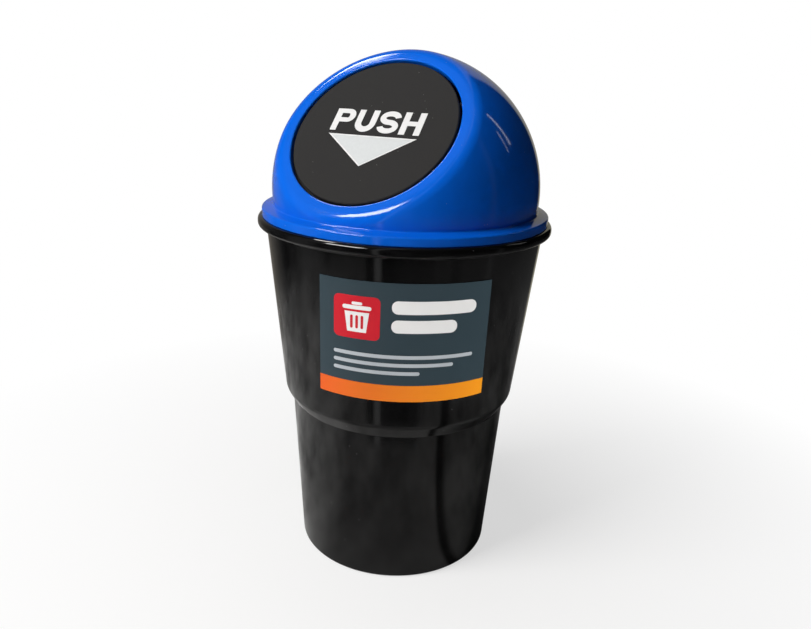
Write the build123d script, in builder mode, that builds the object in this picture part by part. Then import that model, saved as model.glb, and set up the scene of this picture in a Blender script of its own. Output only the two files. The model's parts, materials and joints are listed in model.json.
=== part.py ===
from build123d import *
import os
from math import acos, atan2, cos, degrees, hypot, radians, sin, sqrt

# Push-flap bin that stands in a car's cup holder: a drafted cup with a step, a lift-off
# dome lid with a flat tilted face, and a round sprung flap that fills the hole in that face.
# Millimetres, +Z up, origin at the centre of the foot, the flap faces -Y.

# Cup, from the foot up
foot_radius = 32.6
foot_round = 1.2
foot_ring_width = 4.0
foot_recess = 0.8
lower_height = 53.1
lower_top_radius = 36.0
step_width = 2.4
step_height = 4.1
step_corner = 0.6
step_round = 4.0
upper_height = 54.3
upper_top_radius = 44.1
lip_overhang = 2.7
lip_thickness = 3.05
cup_wall = 1.5
cup_floor = 1.8
floor_round = 3.0
mouth_edge = 0.4

# Dome lid, from its seat on the cup's lip up
spigot_depth = 6.0
spigot_wall = 1.5
spigot_clearance = 0.3
flange_setback = 1.3
flange_skirt = 2.6
flange_slope = 1.1
flange_round = 0.6
flange_ledge = 3.3
flange_plate = 1.4
dome_lift = 8.35
dome_wall = 2.0
dome_foot_round = 0.5

# Flat face of the dome, with the hole for the flap
face_tilt = 42.8
face_depth = 13.2
face_blend = 5.0
ring_width = 2.0
ring_edge = 0.5

# Flap, with a stop lip that closes against the back of the ring
flap_clearance = 0.8
flap_recess = 0.3
flap_thickness = 1.5
flap_edge = 0.4
stop_gap = 0.1
stop_margin = 0.2
stop_seat = 1.6
stop_thickness = 1.4

# Hinge pin, the lid's snap-in ears and the flap's lugs
pivot_rise = 14.0
pin_radius = 1.0
pin_end = 0.4
pin_chamfer = 0.3
pin_seat_clearance = 0.02
pin_running_clearance = 0.06
ear_thickness = 2.4
ear_rim = 1.4
ear_setback = 0.2
ear_root = 1.0
snap_slot = 1.7
lug_thickness = 2.4
lug_rim = 1.3
lug_setback = 0.1

# Torsion spring round the pin, one leg on the ring and one on the flap
spring_wire = 0.7
coil_clearance = 0.3
coil_gap = 0.6
coil_pitch = 0.8
coil_turns = 6
flap_leg = 12.0
leg_gap = 0.1

# Label on the upper wall, turned from the flap's direction and raised from the wall's middle
label_turn = 30.0
label_width = 48.8
label_height = 37.2
label_rise = 0.9
label_thickness = 0.15
label_film = 0.12

# Heights and radii of the cup
step_radius = lower_top_radius + step_width
step_top = lower_height + step_height
lip_bottom = step_top + upper_height
lip_radius = upper_top_radius + lip_overhang
seat = lip_bottom + lip_thickness
floor_top = foot_recess + cup_floor
lower_draft = (lower_top_radius - foot_radius) / lower_height
upper_draft = (upper_top_radius - step_radius) / upper_height
mouth_radius = upper_top_radius - cup_wall + upper_draft * lip_thickness
lip_top_round = min(0.5 * lip_thickness, 0.5 * lip_overhang)
lip_edge_round = min(0.35 * lip_thickness, 0.4 * lip_overhang)
lip_fillet = 0.35 * lip_overhang

# Sizes of the dome and of the hole in its face
flange_radius = lip_radius - flange_setback
flange_shoulder = seat + flange_skirt
flange_top = flange_shoulder + flange_slope
dome_radius = flange_radius - flange_ledge
dome_inner_radius = dome_radius - dome_wall
dome_centre = Vector(0, 0, seat + dome_lift)
face_distance = dome_radius - face_depth
face_flat_radius = sqrt((dome_radius - face_blend) ** 2 - (face_distance - face_blend) ** 2)
opening_radius = face_flat_radius - ring_width
neck_height = seat + flange_plate
neck_radius = sqrt(dome_inner_radius**2 - (dome_centre.Z - neck_height) ** 2)
spigot_top_radius = mouth_radius - spigot_clearance
spigot_end_radius = spigot_top_radius - upper_draft * spigot_depth
spigot_bore = spigot_end_radius - spigot_wall

# Sizes of the flap, the hinge and the spring
flap_radius = opening_radius - flap_clearance
flap_back = flap_recess + flap_thickness
stop_front = dome_wall + stop_gap
stop_radius = face_flat_radius - stop_margin
coil_radius = pin_radius + coil_clearance + spring_wire / 2
hinge_depth = flap_back + coil_gap + coil_radius + spring_wire / 2
ear_radius = pin_radius + ear_rim
ear_inner = sqrt(opening_radius**2 - (pivot_rise - ear_radius) ** 2) + ear_setback
lug_radius = pin_radius + lug_rim
lug_outer = sqrt(flap_radius**2 - (pivot_rise + lug_radius) ** 2) - lug_setback
pin_length = 2 * (ear_inner + ear_thickness + pin_end)

# Directions and planes of the tilted face: X across, Y up the slope, Z out of the face
across = Vector(1, 0, 0)
face_normal = Vector(0, -cos(radians(face_tilt)), sin(radians(face_tilt)))
up_slope = Vector(0, sin(radians(face_tilt)), cos(radians(face_tilt)))
face = Plane(dome_centre + face_normal * face_distance, x_dir=across, z_dir=face_normal)
face_axis = Axis(dome_centre, face_normal)
dome_section = Plane(dome_centre, x_dir=across, z_dir=up_slope * -1)

# Plane square to the hinge pin: X up the slope, Y out of the face, Z along the pin
hinge_centre = face.from_local_coords(Vector(0, pivot_rise, -hinge_depth))
hinge = Plane(hinge_centre, x_dir=up_slope, z_dir=across)


def corner(sketch, radius, height):
    """The vertex of a half section that lies nearest to a radius and height."""
    return sketch.vertices().sort_by_distance((radius, height, 0))[0]


def faced_ball(radius, distance, blend):
    """Half section of a ball with one flat face, whose rim is rolled over into the ball."""
    flat = sqrt((radius - blend) ** 2 - (distance - blend) ** 2)
    tangent = degrees(atan2(distance - blend, flat))
    with BuildSketch(dome_section) as section:
        with BuildLine():
            Line((0, distance), (flat, distance))
            CenterArc((flat, distance - blend), blend, 90, tangent - 90)
            CenterArc((0, 0), radius, tangent, -90 - tangent)
            Line((0, -radius), (0, distance))
        make_face()
    return section.sketch


def hinge_eye(planes, radius, reach, hole):
    """Eye round the hinge pin with a straight root that reaches out towards the face."""
    with BuildSketch(*planes) as eye:
        Circle(radius)
        with Locations((0, reach / 2)):
            Rectangle(2 * radius, reach)
        Circle(hole, mode=Mode.SUBTRACT)
    return eye.sketch


def meets_dome(edge):
    """True for an edge of the flange's slope that runs along the foot of the dome."""
    middle = edge @ 0.5
    return hypot(middle.X, middle.Y) < dome_radius


# Cup: one revolved wall with a foot ring, the step and the rolled lip
foot_ring_radius = foot_radius - foot_ring_width
with BuildPart() as bin_body:
    with BuildSketch(Plane.XZ) as cup_section:
        with BuildLine():
            Polyline(
                (0, foot_recess),
                (foot_ring_radius, foot_recess),
                (foot_ring_radius, 0),
                (foot_radius, 0),
                (lower_top_radius, lower_height),
                (step_radius, step_top),
                (upper_top_radius, lip_bottom),
                (lip_radius, lip_bottom),
                (lip_radius, seat),
                (mouth_radius, seat),
                (step_radius - cup_wall, step_top),
                (lower_top_radius - cup_wall, lower_height),
                (foot_radius + lower_draft * floor_top - cup_wall, floor_top),
                (0, floor_top),
                close=True,
            )
        make_face()
        fillet(corner(cup_section, foot_radius, 0), foot_round)
        fillet(corner(cup_section, lower_top_radius, lower_height), step_corner)
        fillet(corner(cup_section, step_radius, step_top), step_round)
        fillet(corner(cup_section, upper_top_radius, lip_bottom), lip_fillet)
        fillet(corner(cup_section, lip_radius, lip_bottom), lip_edge_round)
        fillet(corner(cup_section, lip_radius, seat), lip_top_round)
        fillet(corner(cup_section, mouth_radius, seat), mouth_edge)
        fillet(corner(cup_section, foot_radius - cup_wall, floor_top), floor_round)
    revolve(axis=Axis.Z)

# Dome lid: a ball with a rolled flat face, a flange that sits on the lip and a spigot in the mouth
with BuildPart() as dome_lid:
    revolve(faced_ball(dome_radius, face_distance, face_blend), axis=face_axis)
    split(bisect_by=Plane.XY.offset(flange_shoulder), keep=Keep.TOP)
    with BuildSketch(Plane.XZ) as flange_section:
        with BuildLine():
            Polyline(
                (0, seat - spigot_depth),
                (spigot_end_radius, seat - spigot_depth),
                (spigot_top_radius, seat),
                (flange_radius, seat),
                (flange_radius, flange_shoulder),
                (neck_radius, flange_top),
                (0, flange_top),
                close=True,
            )
        make_face()
        fillet(corner(flange_section, flange_radius, flange_shoulder), flange_round)
    revolve(axis=Axis.Z)
    slope_edges = dome_lid.edges().filter_by_position(Axis.Z, flange_shoulder, flange_top, (False, False))
    fillet(slope_edges.filter_by(meets_dome), dome_foot_round)
    revolve(
        faced_ball(dome_inner_radius, face_distance - dome_wall, face_blend - dome_wall),
        axis=face_axis,
        mode=Mode.SUBTRACT,
    )
    with BuildSketch(Plane.XZ):
        with BuildLine():
            Polyline(
                (0, seat - spigot_depth),
                (spigot_bore, seat - spigot_depth),
                (spigot_bore, neck_height - spigot_wall),
                (neck_radius, neck_height),
                (0, neck_height),
                close=True,
            )
        make_face()
    revolve(axis=Axis.Z, mode=Mode.SUBTRACT)
    with BuildSketch(face):
        Circle(opening_radius)
    extrude(amount=-2 * dome_wall, mode=Mode.SUBTRACT)
    face_edges = dome_lid.edges().filter_by(GeomType.CIRCLE).group_by(face_axis)[-1]
    fillet(face_edges.sort_by(SortBy.RADIUS)[0], ring_edge)
    ear_planes = [hinge.offset(ear_inner), hinge.offset(-ear_inner - ear_thickness)]
    extrude(
        hinge_eye(ear_planes, ear_radius, hinge_depth - ear_root, pin_radius + pin_seat_clearance),
        amount=ear_thickness,
    )
    with BuildSketch(*ear_planes):
        with Locations((0, -ear_radius)):
            Rectangle(snap_slot, 2 * ear_radius)
    extrude(amount=ear_thickness, mode=Mode.SUBTRACT)

# Flap: a flat disc with a half ring of stop lip below its middle and two hinge lugs
with BuildPart() as push_flap:
    with BuildSketch(face.offset(-flap_recess)):
        Circle(flap_radius)
    extrude(amount=-flap_thickness)
    flap_front = push_flap.edges().filter_by(GeomType.CIRCLE).sort_by(face_axis)[-1]
    fillet(flap_front, flap_edge)
    with BuildSketch(face.offset(-flap_recess - flap_thickness / 2)):
        Circle(flap_radius)
        Circle(flap_radius - stop_seat, mode=Mode.SUBTRACT)
        with Locations((0, -flap_radius)):
            Rectangle(2 * flap_radius, 2 * flap_radius, mode=Mode.INTERSECT)
    extrude(amount=flap_recess + flap_thickness / 2 - stop_front - stop_thickness)
    with BuildSketch(face.offset(-stop_front)):
        Circle(stop_radius)
        Circle(flap_radius - stop_seat, mode=Mode.SUBTRACT)
        with Locations((0, -stop_radius)):
            Rectangle(2 * stop_radius, 2 * stop_radius, mode=Mode.INTERSECT)
    extrude(amount=-stop_thickness)
    lug_planes = [hinge.offset(lug_outer - lug_thickness), hinge.offset(-lug_outer)]
    lug_reach = hinge_depth - flap_recess - flap_thickness / 2
    lug_hole = pin_radius + pin_running_clearance
    extrude(hinge_eye(lug_planes, lug_radius, lug_reach, lug_hole), amount=lug_thickness)

# Hinge pin: a plain steel rod with chamfered ends
with BuildPart() as hinge_pin:
    with BuildSketch(hinge.offset(-pin_length / 2)):
        Circle(pin_radius)
    extrude(amount=pin_length)
    chamfer(hinge_pin.edges().filter_by(GeomType.CIRCLE), pin_chamfer)


def tangent_angle(x, y):
    """Where a leg from the coil to a point above it leaves the coil, in degrees round the pin."""
    spread = degrees(acos(coil_radius / hypot(x, y)))
    bearing = degrees(atan2(y, x))
    return bearing + spread if x > 0 else bearing - spread


def tangent_length(x, y):
    """Length of that leg, from the coil to the point."""
    return sqrt(x**2 + y**2 - coil_radius**2)


# Torsion spring: a helix whose two legs run on along its tangents
leg_room = hinge_depth - spring_wire / 2 - leg_gap
ring_leg_end = (opening_radius + ring_width / 2 - pivot_rise, leg_room - dome_wall)
flap_leg_end = (-flap_leg, leg_room - flap_back)
coil_start = tangent_angle(*ring_leg_end)
coil_sweep = 360 * coil_turns + tangent_angle(*flap_leg_end) - coil_start
coil_length = coil_pitch * coil_sweep / 360
coil_x = up_slope * cos(radians(coil_start)) + face_normal * sin(radians(coil_start))
coil_plane = Plane(hinge_centre - across * (coil_length / 2), x_dir=coil_x, z_dir=across)
with BuildLine() as spring_line:
    coil = Helix(coil_pitch, coil_length, coil_radius)
    Line(coil @ 0 - (coil % 0) * tangent_length(*ring_leg_end), coil @ 0)
    Line(coil @ 1, coil @ 1 + (coil % 1) * tangent_length(*flap_leg_end))
spring_path = coil_plane * spring_line.line
with BuildPart() as torsion_spring:
    with BuildSketch(Plane(spring_path @ 0, z_dir=spring_path % 0)):
        Circle(spring_wire / 2)
    sweep(path=spring_path)

# Label: a thin patch of the upper wall's cone, cut square from the front
label_middle = (step_top + lip_bottom) / 2 + label_rise
label_low = label_middle - label_height / 2
label_high = label_middle + label_height / 2
label_low_radius = step_radius + upper_draft * (label_low - step_top) + label_film
label_high_radius = step_radius + upper_draft * (label_high - step_top) + label_film
label_facing = Vector(sin(radians(label_turn)), -cos(radians(label_turn)), 0)
label_front = Plane((0, 0, label_middle), x_dir=label_facing.rotate(Axis.Z, 90), z_dir=label_facing)
with BuildPart() as label:
    with BuildSketch(Plane.XZ):
        with BuildLine():
            Polyline(
                (label_low_radius, label_low),
                (label_low_radius + label_thickness, label_low),
                (label_high_radius + label_thickness, label_high),
                (label_high_radius, label_high),
                close=True,
            )
        make_face()
    revolve(axis=Axis.Z)
    with BuildSketch(label_front):
        Rectangle(label_width, 2 * label_height)
    extrude(amount=lip_radius, mode=Mode.INTERSECT)

pieces = {
    "bin_body": bin_body,
    "dome_lid": dome_lid,
    "push_flap": push_flap,
    "hinge_pin": hinge_pin,
    "torsion_spring": torsion_spring,
    "label": label,
}
os.makedirs("parts", exist_ok=True)
for name, piece in pieces.items():
    piece.part.label = name
    export_step(piece.part, f"parts/{name}.step")
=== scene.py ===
import json
import math

import bmesh
import bpy
import numpy as np
from mathutils import Matrix, Vector


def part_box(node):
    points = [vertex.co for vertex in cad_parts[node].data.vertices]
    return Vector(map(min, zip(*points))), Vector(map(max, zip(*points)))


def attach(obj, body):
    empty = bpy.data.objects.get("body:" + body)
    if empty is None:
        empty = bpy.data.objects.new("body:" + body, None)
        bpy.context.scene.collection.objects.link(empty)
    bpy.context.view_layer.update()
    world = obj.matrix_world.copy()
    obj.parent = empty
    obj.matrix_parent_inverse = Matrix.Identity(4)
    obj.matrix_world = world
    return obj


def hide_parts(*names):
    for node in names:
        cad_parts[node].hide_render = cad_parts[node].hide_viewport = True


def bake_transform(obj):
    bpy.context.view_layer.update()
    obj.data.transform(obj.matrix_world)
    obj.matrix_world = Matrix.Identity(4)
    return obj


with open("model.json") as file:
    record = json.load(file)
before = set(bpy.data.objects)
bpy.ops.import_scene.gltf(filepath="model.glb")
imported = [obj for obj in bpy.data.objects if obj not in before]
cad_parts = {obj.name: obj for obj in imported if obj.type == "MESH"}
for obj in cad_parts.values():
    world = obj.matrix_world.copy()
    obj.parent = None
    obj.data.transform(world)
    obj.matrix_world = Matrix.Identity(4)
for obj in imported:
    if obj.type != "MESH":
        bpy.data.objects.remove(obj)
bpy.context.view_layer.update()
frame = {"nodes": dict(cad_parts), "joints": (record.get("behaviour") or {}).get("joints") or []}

bl_info = {
    "name": "Push-flap trash bin",
    "version": (1, 0, 0),
    "blender": (4, 5, 0),
    "location": "View3D > Sidebar > Trash bin",
    "description": "Dresses a cup-holder trash bin: cup, dome lid, printed flap, sprung hinge and label",
    "category": "Add Mesh",
}

MM = 0.001
BLACK, WHITE, WHITE_FLOOR = (0.0, 0.0, 0.0), (1.0, 1.0, 1.0), (0.9, 0.9, 0.9)

# Widest step of an arc, distance under which points are one, and angle from which an edge is sharp
ARC_STEP = math.radians(8)
MERGE_DISTANCE = 0.001 * MM
SHARP_ANGLE = math.radians(38)

# Rows of the lid's grid on the hole's edge, the ring, the dome's foot, the inside and the ring's back,
# and how strongly the dome's rows crowd towards the face
EDGE_ROWS, RING_ROWS, FOOT_ROWS, INSIDE_ROWS, BACK_ROWS = 8, 5, 10, 40, 4
CROWDING = 1.5

# Steps of the letters' bowls and bends, of a bar's round corner and of the hinge ear's end and seat
BOWL_STEPS, BEND_STEPS, CORNER_STEPS = 24, 32, 6
EAR_STEPS, SEAT_STEPS = 16, 32

# Lamps: name, turn from the camera and lift in degrees, width and height in metres, the setting of its
# brightness, and whether it lights matte surfaces or shows in gloss
LAMP_COLOUR = (1.0, 0.985, 0.965)
LAMP_DISTANCE = 0.8
LAMPS = (
    ("key", -61, 35, (0.4, 0.4), "key", "diffuse"),
    ("overhead", -60, 72, (0.4, 0.4), "overhead", "diffuse"),
    ("window", -50, 39, (0.37, 0.20), "window", "glossy"),
    ("skylight", -122, 57, (0.16, 0.12), "window", "glossy"),
    ("glint", 108, 33, (0.025, 0.28), "glint", "glossy"),
    ("thin_glint", 101, 28, (0.012, 0.18), "glint", "glossy"),
)

CUP_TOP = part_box("bin_body")[1]
LID_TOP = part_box("dome_lid")[1]
HINGE = Vector(next(joint["pos_m"] for joint in frame["joints"] if joint["name"] == "flap_push"))


def length(name, millimetres, description):
    """A length that is written in millimetres and kept in metres."""
    return bpy.props.FloatProperty(
        name=name, description=description, default=millimetres * MM, unit="LENGTH", precision=5
    )


def measured(name, metres, description):
    """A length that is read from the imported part."""
    return bpy.props.FloatProperty(
        name=name, description=description, default=metres, unit="LENGTH", precision=5
    )


def angle(name, degrees, description):
    """An angle that is written in degrees."""
    return bpy.props.FloatProperty(
        name=name, description=description, default=math.radians(degrees), subtype="ANGLE"
    )


def count(name, number, description):
    """A whole number of steps, rows or turns."""
    return bpy.props.IntProperty(name=name, description=description, default=number, min=1)


def share(name, value, description):
    """A plain number without a unit."""
    return bpy.props.FloatProperty(name=name, description=description, default=value, precision=3)


def colour(name, rgb, description):
    """A linear colour."""
    return bpy.props.FloatVectorProperty(
        name=name, description=description, default=rgb, subtype="COLOR", size=3, min=0.0, max=1.0
    )


class CupSettings(bpy.types.PropertyGroup):
    """Sizes and colour of the moulded cup"""

    foot_radius: length("Foot radius", 32.6, "Radius of the wall at the foot")
    foot_round: length("Foot round", 1.2, "Round under the outside of the foot")
    foot_ring_width: length("Foot ring", 4.0, "Width of the ring that the cup stands on")
    foot_recess: length("Foot recess", 0.8, "Depth of the hollow inside the foot ring")
    lower_height: length("Lower wall", 53.1, "Height of the lower wall, up to the step")
    lower_top_radius: length("Lower top radius", 36.0, "Radius of the lower wall under the step")
    step_width: length("Step width", 2.4, "How far the step stands out")
    step_height: length("Step height", 4.1, "Height of the step")
    step_corner: length("Step corner", 0.6, "Round in the corner under the step")
    step_round: length("Step round", 4.0, "Round over the step's shoulder")
    upper_height: length("Upper wall", 54.3, "Height of the upper wall, up to the lip")
    lip_radius: measured("Lip radius", CUP_TOP.x, "Outer radius of the lip")
    lip_overhang: length("Lip overhang", 2.7, "How far the lip stands out from the wall")
    lip_thickness: length("Lip thickness", 3.05, "Height of the lip")
    seat: measured("Seat", CUP_TOP.z, "Height of the lip's top, where the lid sits")
    wall: length("Wall", 1.5, "Thickness of the wall")
    floor: length("Floor", 1.8, "Thickness of the floor")
    floor_round: length("Floor round", 3.0, "Round between the floor and the wall inside")
    edge_round: length("Edge round", 0.4, "Round of the mouth and of the foot ring's inner edges")
    segments: count("Segments", 288, "Steps round the cup")
    plastic: colour("Plastic", (0.0026, 0.0026, 0.0028), "Colour of the gloss black plastic")
    roughness: share("Roughness", 0.045, "Roughness of the polished plastic")


class LidSettings(bpy.types.PropertyGroup):
    """Sizes and colour of the moulded dome lid"""

    spigot_depth: length("Spigot depth", 6.0, "How far the spigot reaches into the cup")
    spigot_radius: length("Spigot radius", 42.62, "Radius of the spigot under the flange")
    spigot_end_radius: length("Spigot end radius", 41.99, "Radius of the spigot at its end")
    spigot_wall: length("Spigot wall", 1.5, "Thickness of the spigot")
    spigot_corner: length("Spigot corner", 0.2, "Round between the flange and the spigot")
    spigot_edge: length("Spigot edge", 0.4, "Rounds at the spigot's end")
    flange_radius: measured("Flange radius", LID_TOP.x, "Outer radius of the flange")
    flange_skirt: length("Flange skirt", 2.6, "Height of the flange's upright edge")
    flange_slope: length("Flange slope", 1.1, "Rise of the flange towards the dome")
    flange_round: length("Flange round", 0.6, "Round over the flange's shoulder")
    flange_edge: length("Flange edge", 0.25, "Round under the flange's upright edge")
    flange_plate: length("Flange plate", 1.4, "Height of the neck above the seat, inside")
    dome_ledge: length("Dome ledge", 3.3, "How far the flange stands out from the dome")
    dome_lift: length("Dome lift", 8.35, "Height of the dome's centre above the seat")
    dome_wall: length("Dome wall", 2.0, "Thickness of the dome")
    dome_foot_round: length("Dome foot round", 0.5, "Round in the corner between dome and flange")
    face_tilt: angle("Face tilt", 42.8, "Lean of the flat face back from upright")
    face_depth: length("Face depth", 13.2, "Depth that the flat face takes off the dome")
    face_blend: length("Face blend", 5.0, "Roll of the face's rim into the dome")
    ring_width: length("Ring width", 2.0, "Width of the flat ring round the hole")
    ring_edge: length("Ring edge", 0.5, "Round of the hole's front edge")
    ear_inner: length("Ear inside", 23.940, "Distance from the middle to an ear's inner side")
    ear_thickness: length("Ear thickness", 2.4, "Thickness of an ear")
    ear_radius: length("Ear radius", 2.4, "Radius of an ear round the pin")
    ear_hole: length("Ear hole", 1.02, "Radius of the pin's seat in an ear")
    ear_reach: length("Ear reach", 3.5, "Distance from the pin to an ear's root in the face")
    snap_slot: length("Snap slot", 1.7, "Width of the slot that the pin snaps in through")
    columns: count("Columns", 288, "Steps round the face")
    rows: count("Rows", 88, "Steps from the face down over the dome")
    plastic: colour("Plastic", (0.0018, 0.119, 0.675), "Colour of the gloss blue plastic")
    roughness: share("Roughness", 0.065, "Roughness of the polished plastic")


class FlapSettings(bpy.types.PropertyGroup):
    """Print and colours of the flap, in its own plane, from the middle of the face"""

    recess: length("Recess", 0.3, "How far the flap's front lies behind the face")
    ink: length("Ink", 0.03, "Thickness of the print")
    ink_sunk: length("Ink sunk", 0.01, "Part of that thickness that lies in the flap")
    turn: angle("Turn", 1.0, "Turn of the print in the flap's plane")
    base: length("Base line", -0.95, "Height of the letters' base line")
    cap: length("Cap height", 8.0, "Height of the letters")
    stroke: length("Stroke", 2.0, "Width of the upright strokes")
    bar: length("Bar", 1.6, "Width of the level strokes")
    first: length("First letter", -14.75, "Left side of the first letter")
    letter: length("Letter", 6.75, "Width of a letter")
    space: length("Space", 0.9, "Space between letters")
    bowl: share("Bowl", 0.6, "Height of the P's bowl, as a share of the letters' height")
    hook: angle("Hook", 6.0, "Angle above level at which the S's stroke ends")
    arrow_top: length("Arrow top", -2.2, "Height of the arrow's level edge")
    arrow_left: length("Arrow left", -14.4, "Left corner of the arrow")
    arrow_right: length("Arrow right", 14.8, "Right corner of the arrow")
    arrow_drop: length("Arrow drop", 10.7, "Height of the arrow")
    arrow_tip: length("Arrow tip", 0.3, "Distance of the arrow's tip from the middle")
    arrow_border: length("Arrow border", 0.4, "Width of the arrow's white border")
    plastic: colour("Plastic", (0.0185, 0.018, 0.018), "Colour of the matte dark grey plastic")
    letters: colour("Letters", (0.72, 0.72, 0.725), "Colour of the letters")
    arrow: colour("Arrow", (0.59, 0.615, 0.625), "Colour of the arrow")


class HingeSettings(bpy.types.PropertyGroup):
    """Sizes and colour of the spring round the hinge pin"""

    wire: length("Wire", 0.7, "Diameter of the spring's wire")
    coil_radius: length("Coil radius", 1.65, "Radius of the coil to the middle of the wire")
    pitch: length("Pitch", 0.8, "Advance of the coil in one turn")
    turns: count("Turns", 6, "Whole turns of the coil")
    ring_leg_up: length("Ring leg up", 13.4225, "End of the leg behind the ring, up the slope")
    ring_leg_out: length("Ring leg out", 1.95, "End of the leg behind the ring, out of the face")
    flap_leg_up: length("Flap leg up", -12.0, "End of the leg behind the flap, up the slope")
    flap_leg_out: length("Flap leg out", 2.15, "End of the leg behind the flap, out of the face")
    steps: count("Steps", 40, "Steps in one turn")
    sides: count("Sides", 14, "Steps round the wire")
    steel: colour("Steel", (0.40, 0.40, 0.41), "Colour of the drawn steel")


class LabelSettings(bpy.types.PropertyGroup):
    """Sizes and colours of the printed label"""

    turn: angle("Turn", 30.0, "Turn of the label from the flap's direction")
    width: length("Width", 48.8, "Width across the front")
    height: length("Height", 37.2, "Height of the label")
    rise: length("Rise", 0.9, "Rise of the label's middle above the middle of the upper wall")
    gap: length("Film gap", 0.12, "Space between the wall and the film")
    film: length("Film", 0.15, "Thickness of the film")
    ink: length("Ink", 0.02, "Thickness of the print")
    column: length("Column", 0.8, "Widest step of the print round the cup")
    row: length("Row", 6.0, "Highest step of the print up the cup")
    field: colour("Field", (0.034, 0.057, 0.072), "Slate of the label")
    deep: colour("Deep orange", (0.80, 0.095, 0.009), "Left end of the band")
    amber: colour("Amber", (1.0, 0.36, 0.010), "Right end of the band")
    tag: colour("Tag", (0.64, 0.007, 0.021), "Red of the tag")
    white: colour("White", (0.88, 0.88, 0.88), "White of the sign and the bold bars")
    grey: colour("Grey", (0.50, 0.54, 0.58), "Grey of the thin bars")


class StageSettings(bpy.types.PropertyGroup):
    """Camera, lamps and floor"""

    lens: bpy.props.FloatProperty(
        name="Lens",
        description="Focal length on a 36 mm sensor",
        default=33.744,
        subtype="DISTANCE_CAMERA",
    )
    turn: angle("Camera turn", 28.46, "Turn of the camera round the bin from the flap's direction")
    pitch: angle("Camera pitch", 18.441, "Tilt of the camera down")
    yaw: angle("Camera yaw", 0.336, "Turn of the camera off the bin's axis")
    roll: angle("Camera roll", 2.336, "Roll of the camera")
    distance: length("Camera distance", 243.124, "Distance of the camera from the bin's axis")
    height: length("Camera height", 161.647, "Height of the camera")
    floor_radius: length("Floor radius", 900.0, "Radius of the floor")
    floor_steps: count("Floor steps", 96, "Steps round the floor")
    key: share("Key", 14.2, "Brightness of the key softbox")
    overhead: share("Overhead", 2.2, "Brightness of the softbox overhead")
    window: share("Window", 17.0, "Brightness of the windows that gloss shows")
    glint: share("Glint", 2.5, "Brightness of the thin strips that gloss shows on the right")
    spot: share("Label spot", 0.82, "Brightness of the narrow spot on the label")
    spot_turn: angle("Spot turn", 75.0, "Turn of that spot to the right of the camera")
    spot_lift: angle("Spot lift", 5.0, "Lift of that spot above the label")
    spot_radius: length("Spot radius", 27.0, "Radius of its beam at the label")
    spot_blend: share("Spot blend", 0.2, "Share of the beam that is its soft edge")
    spot_bulb: length("Spot bulb", 4.0, "Radius of its bulb")
    ambient: share("Ambient", 0.02, "Light of the room in front on the bin")
    rear: share("Rear", 0.95, "Light of the room behind on the bin")
    room: share("Room", 0.04, "Brightness of the room in front, as gloss shows it")
    backdrop: colour("Backdrop", (0.26, 0.24, 0.21), "Left of the backdrop, as gloss shows it")
    wall: colour("Wall", (0.38, 0.36, 0.28), "Right of the backdrop, as gloss shows it")


class Flow:
    """A node's output that takes part in Python sums, each of which adds its Math node."""

    def __init__(self, graph, socket):
        self.graph = graph
        self.socket = socket

    def maths(self, operation, first, second=0.0):
        values = {"Value": first, "Value_001": second}
        return self.graph.node("ShaderNodeMath", {"operation": operation}, values)

    def __add__(self, other):
        return self.maths("ADD", self, other)

    def __radd__(self, other):
        return self.maths("ADD", other, self)

    def __sub__(self, other):
        return self.maths("SUBTRACT", self, other)

    def __rsub__(self, other):
        return self.maths("SUBTRACT", other, self)

    def __mul__(self, other):
        return self.maths("MULTIPLY", self, other)

    def __rmul__(self, other):
        return self.maths("MULTIPLY", other, self)

    def __truediv__(self, other):
        return self.maths("DIVIDE", self, other)

    def __pow__(self, other):
        return self.maths("POWER", self, other)

    def __gt__(self, other):
        return self.maths("GREATER_THAN", self, other)

    def __lt__(self, other):
        return self.maths("LESS_THAN", self, other)


class Graph:
    """Adds nodes to a tree, for shaders and for Geometry Nodes alike."""

    def __init__(self, tree):
        self.tree = tree

    def socket(self, sockets, key):
        """A socket by its place, its identifier or its shown name."""
        if isinstance(key, int):
            return sockets[key]
        exact = [socket for socket in sockets if socket.identifier == key]
        shown = [socket for socket in sockets if socket.name == key and socket.enabled]
        return (exact + shown)[0]

    def node(self, kind, settings=None, inputs=None, output=0):
        """A node of a type, with its settings, then the values or links of its sockets."""
        node = self.tree.nodes.new(kind)
        for name, value in (settings or {}).items():
            if name == "stops":
                self.set_stops(node.color_ramp, value)
            else:
                setattr(node, name, value)
        for key, value in (inputs or {}).items():
            target = self.socket(node.inputs, key)
            if isinstance(value, Flow):
                self.tree.links.new(value.socket, target)
            else:
                target.default_value = value
        return Flow(self, self.socket(node.outputs, output)) if node.outputs else None

    def set_stops(self, ramp, stops):
        """Gives a ramp its stops, each a place and a grey level."""
        while len(ramp.elements) < len(stops):
            ramp.elements.new(0.5)
        for element, (place, level) in zip(ramp.elements, stops):
            element.position = place
            element.color = (level, level, level, 1.0)

    def ramp(self, flow, *stops):
        """A curve of grey levels over a flow."""
        return self.node("ShaderNodeValToRGB", {"stops": stops}, {"Fac": flow}, "Color")

    def grey(self, level):
        """A grey of a level."""
        return self.mix(level, BLACK, WHITE)

    def mix(self, factor, first, second):
        """A mix of two colours."""
        pair = {"Factor_Float": factor, "A_Color": rgba(first), "B_Color": rgba(second)}
        return self.node("ShaderNodeMix", {"data_type": "RGBA"}, pair, "Result_Color")

    def along(self, vector, direction):
        """Length of a vector along a direction."""
        pair = {"Vector": vector, "Vector_001": direction}
        return self.node("ShaderNodeVectorMath", {"operation": "DOT_PRODUCT"}, pair, "Value")

    def also(self, flow, output):
        """Another output of the node that a flow comes from."""
        return Flow(self, self.socket(flow.socket.node.outputs, output))


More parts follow.
